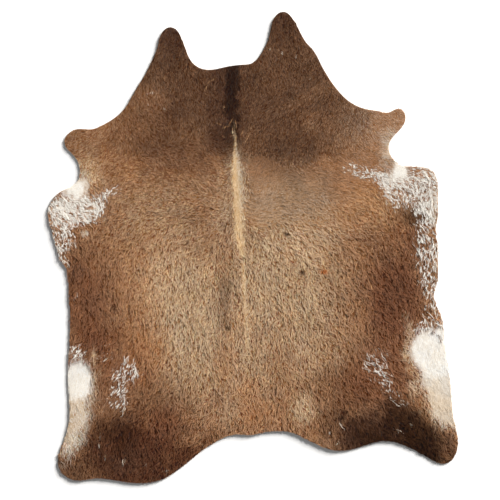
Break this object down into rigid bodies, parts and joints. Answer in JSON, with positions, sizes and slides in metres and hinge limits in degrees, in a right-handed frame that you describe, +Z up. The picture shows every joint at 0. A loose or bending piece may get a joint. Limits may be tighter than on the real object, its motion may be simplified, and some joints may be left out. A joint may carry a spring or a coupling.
{
  "type": "cowhide rug",
  "caption": "Whole hair-on cowhide cut flat as a floor rug, with neck tabs, foreleg stubs and hind legs in its smooth wavy outline, laid hair side up.",
  "frame": {"origin": "under the middle of the hide's bounding rectangle, on the face that it rests on", "axes": "+Z up, out of the hair side; +Y along the spine towards the neck; +X to the right as seen from above"},
  "size_m": [1.842, 2.12, 0.005],
  "materials": {
    "hair_on_leather": "short brown and white hair on soft tanned leather, satin"
  },
  "bodies": {
    "root": {"hide": "hair_on_leather"}
  },
  "joints": []
}
